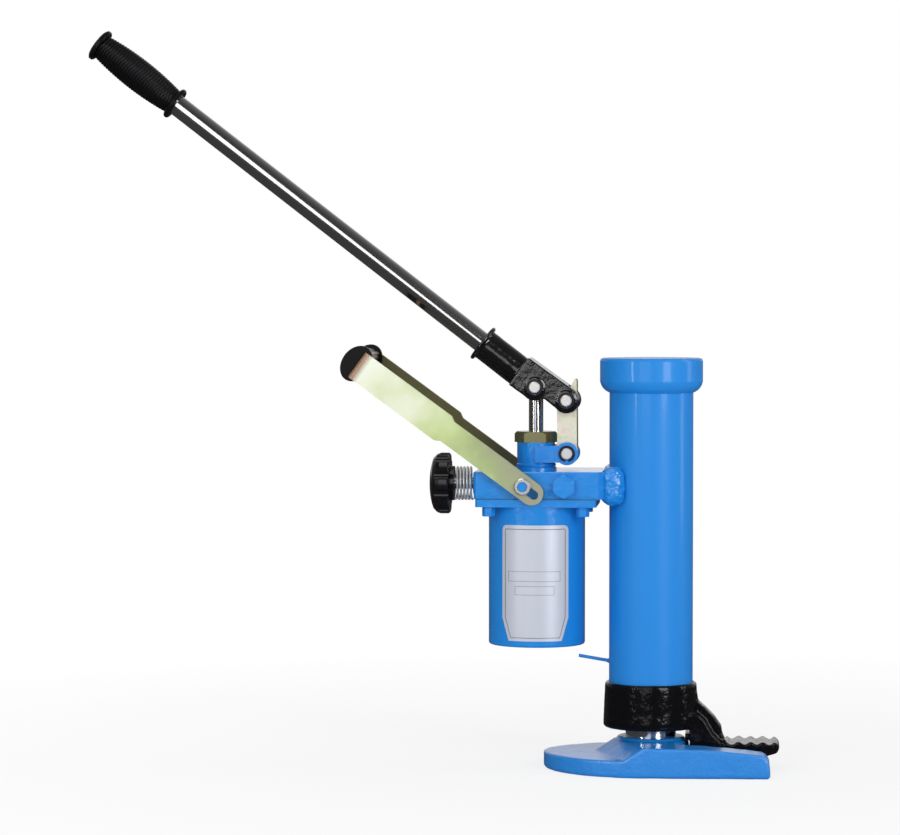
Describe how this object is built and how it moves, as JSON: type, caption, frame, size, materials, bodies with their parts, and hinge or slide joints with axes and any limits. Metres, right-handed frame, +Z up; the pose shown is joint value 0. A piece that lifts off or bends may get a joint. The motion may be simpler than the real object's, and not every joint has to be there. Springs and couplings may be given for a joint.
{
  "type": "hydraulic toe jack",
  "caption": "Hydraulic toe jack: lever-pumped cylinder that climbs its own ram, with a lifting head on top, a serrated lifting toe low at the side and a carrying strap.",
  "frame": {"origin": "on the ram's axis, in the plane of the base foot's underside", "axes": "+Z up along the ram, +X along the lifting toe, -X towards the pump and the handle, -Y the side with the hexagon plug"},
  "size_m": [0.6238, 0.137, 0.6626],
  "materials": {
    "blue_paint": "gloss blue enamel, light orange peel, thick runs on welds",
    "black_cast": "gloss black over rough casting",
    "chrome": "hard chrome, polished",
    "zinc_yellow": "yellow passivated zinc with faint pink and green tints",
    "zinc_bright": "bright zinc",
    "black_steel": "black phosphated spring steel",
    "black_rubber": "satin black rubber",
    "black_plastic": "gloss black moulded",
    "seal": "seal rubber",
    "bronze": "bearing bronze",
    "bearing_steel": "ground steel"
  },
  "bodies": {
    "base": {"base_foot": "blue_paint", "ram": "chrome", "ram_circlip": "black_steel"},
    "swivel_ring": {"ram_guide_ring": "bronze"},
    "jack_body": {"cylinder_tube": "blue_paint", "head_cap": "blue_paint", "toe_collar": "black_cast", "toe_retaining_ring": "black_steel", "wiper_ring": "black_rubber", "guide_bush": "bronze", "ram_seal": "seal", "stop_ring": "black_steel", "pump_block": "blue_paint", "weld_bead": "blue_paint", "reservoir_gasket": "seal", "reservoir_flange": "blue_paint", "reservoir_cup": "blue_paint", "flange_bolts": "blue_paint", "suction_tube": "zinc_bright", "suction_strainer": "bearing_steel", "suction_ball": "bearing_steel", "delivery_ball": "bearing_steel", "delivery_spring": "bearing_steel", "hex_plug": "blue_paint", "pump_barrel": "blue_paint", "pump_seal": "seal", "gland_nut": "zinc_yellow", "lug_pin": "zinc_bright", "lug_pin_circlips": "black_steel", "release_ball": "bearing_steel", "knob_spring": "zinc_bright", "strap_studs": "blue_paint", "handle_rest_pin": "blue_paint"},
    "link": {"link_front": "zinc_yellow", "link_back": "zinc_yellow", "link_spacers": "zinc_bright"},
    "lever": {"lever_casting": "black_cast", "link_pin": "zinc_bright", "piston_pin": "zinc_bright", "lever_pin_circlips": "black_steel"},
    "piston": {"pump_piston": "chrome"},
    "handle": {"handle_tube": "chrome", "handle_grip": "black_rubber"},
    "release_valve": {"release_knob": "black_plastic", "release_spindle": "bearing_steel"},
    "strap_bush": {"strap_bushes": "zinc_bright", "strap_spacers": "zinc_bright"},
    "strap": {"carry_strap": "zinc_yellow", "strap_grip": "black_rubber"}
  },
  "joints": [
    {"name": "base_swivel", "type": "hinge", "parent": "base", "child": "swivel_ring", "pos_m": [0, 0, 0.29], "axis": [0, 0, 1], "range_deg": [-8, 8]},
    {"name": "lift", "type": "slide", "parent": "swivel_ring", "child": "jack_body", "axis": [0, 0, 1], "range_m": [0, 0.205]},
    {"name": "link_swing", "type": "hinge", "parent": "jack_body", "child": "link", "pos_m": [-0.0748, 0, 0.2826], "axis": [0, 1, 0], "range_deg": [0, 3]},
    {"name": "lever_stroke", "type": "hinge", "parent": "link", "child": "lever", "pos_m": [-0.0752, 0, 0.3302], "axis": [0, -1, 0], "range_deg": [0, 44]},
    {"name": "pump_stroke", "type": "slide", "parent": "jack_body", "child": "piston", "axis": [0, 0, -1], "range_m": [0, 0.023]},
    {"name": "handle_pull", "type": "slide", "parent": "lever", "child": "handle", "axis": [-0.7907, 0, 0.6122], "range_m": [0, 0.06]},
    {"name": "release_turn", "type": "hinge", "parent": "jack_body", "child": "release_valve", "pos_m": [-0.1786, 0, 0.255], "axis": [-1, 0, 0], "range_deg": [0, 90], "stiffness_Nm_per_rad": 0.05},
    {"name": "strap_swing", "type": "hinge", "parent": "jack_body", "child": "strap_bush", "pos_m": [-0.1125, 0, 0.2546], "axis": [0, -1, 0], "range_deg": [0, 30]},
    {"name": "strap_slot", "type": "slide", "parent": "strap_bush", "child": "strap", "axis": [-0.807, 0, 0.5906], "range_m": [0, 0.0126]}
  ],
  "couplings": [
    {"joint": "link_swing", "follows": "lever_stroke", "ratio": 0.0575},
    {"joint": "pump_stroke", "follows": "lever_stroke", "m_per_rad": 0.0281},
    {"joint": "strap_swing", "follows": "lever_stroke", "ratio": 0.68}
  ]
}
